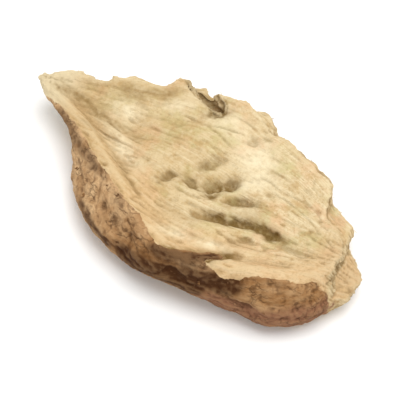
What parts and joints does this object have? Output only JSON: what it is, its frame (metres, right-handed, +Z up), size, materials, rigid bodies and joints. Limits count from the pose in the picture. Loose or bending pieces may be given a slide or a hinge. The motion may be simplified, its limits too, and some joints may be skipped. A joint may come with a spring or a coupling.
{
  "type": "orris root chip",
  "caption": "Flat chip of dried orris root with a pale fibrous cut face, a wrinkled brown skin along one edge, torn edges and a thin curled tip.",
  "frame": {"origin": "on the resting surface, under the middle of the chip's bounding box", "axes": "+Z up out of the pale cut face, +X to the right as the picture shows the chip, -Y towards the viewer, where the brown skin is; the curled tip is at -X +Y"},
  "size_m": [0.02, 0.0182, 0.004],
  "materials": {
    "dried_root": "matte"
  },
  "bodies": {
    "root": {"root_chip": "dried_root"}
  },
  "joints": []
}
